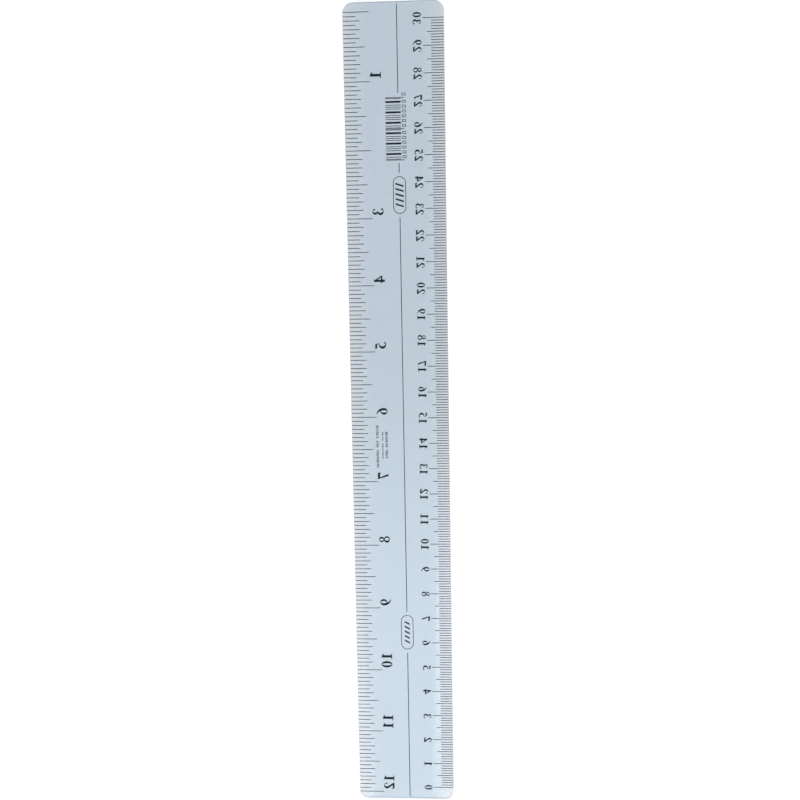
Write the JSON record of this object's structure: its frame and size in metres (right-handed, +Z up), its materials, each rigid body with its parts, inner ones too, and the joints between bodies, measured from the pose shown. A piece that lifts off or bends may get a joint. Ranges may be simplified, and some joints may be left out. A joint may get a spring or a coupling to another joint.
{
  "type": "ruler",
  "caption": "Flat see-through tinted plastic ruler with bevelled long edges, rounded corners, a printed centimetre scale, a printed inch scale and a centre line.",
  "frame": {"origin": "under the middle of the blade, on the surface the blade rests on", "axes": "+X across the blade to the centimetre edge, +Y along the blade to its 30 cm and 0 inch end, +Z up, out of the printed back"},
  "size_m": [0.038, 0.3114, 0.0025],
  "materials": {
    "tinted_clear_plastic": "clear pale-blue moulded plastic, polished, with fine handling scratches",
    "black_ink": "thin black printing ink, satin"
  },
  "bodies": {
    "root": {"blade": "tinted_clear_plastic", "millimetre_marks": "black_ink", "half_centimetre_marks": "black_ink", "centimetre_marks": "black_ink", "sixteenth_inch_marks": "black_ink", "eighth_inch_marks": "black_ink", "half_inch_marks": "black_ink", "inch_marks": "black_ink", "centimetre_numeral_00": "black_ink", "centimetre_numeral_01": "black_ink", "centimetre_numeral_02": "black_ink", "centimetre_numeral_03": "black_ink", "centimetre_numeral_04": "black_ink", "centimetre_numeral_05": "black_ink", "centimetre_numeral_06": "black_ink", "centimetre_numeral_07": "black_ink", "centimetre_numeral_08": "black_ink", "centimetre_numeral_09": "black_ink", "centimetre_numeral_10": "black_ink", "centimetre_numeral_11": "black_ink", "centimetre_numeral_12": "black_ink", "centimetre_numeral_13": "black_ink", "centimetre_numeral_14": "black_ink", "centimetre_numeral_15": "black_ink", "centimetre_numeral_16": "black_ink", "centimetre_numeral_17": "black_ink", "centimetre_numeral_18": "black_ink", "centimetre_numeral_19": "black_ink", "centimetre_numeral_20": "black_ink", "centimetre_numeral_21": "black_ink", "centimetre_numeral_22": "black_ink", "centimetre_numeral_23": "black_ink", "centimetre_numeral_24": "black_ink", "centimetre_numeral_25": "black_ink", "centimetre_numeral_26": "black_ink", "centimetre_numeral_27": "black_ink", "centimetre_numeral_28": "black_ink", "centimetre_numeral_29": "black_ink", "centimetre_numeral_30": "black_ink", "inch_numeral_01": "black_ink", "inch_numeral_03": "black_ink", "inch_numeral_04": "black_ink", "inch_numeral_05": "black_ink", "inch_numeral_06": "black_ink", "inch_numeral_07": "black_ink", "inch_numeral_08": "black_ink", "inch_numeral_09": "black_ink", "inch_numeral_10": "black_ink", "inch_numeral_11": "black_ink", "inch_numeral_12": "black_ink", "centre_line": "black_ink", "upper_badge_outline": "black_ink", "upper_badge_hatching": "black_ink", "lower_badge_outline": "black_ink", "lower_badge_hatching": "black_ink", "bar_panel_bars": "black_ink", "bar_panel_guards": "black_ink", "bar_panel_caption": "black_ink", "fine_print": "black_ink"}
  },
  "joints": []
}
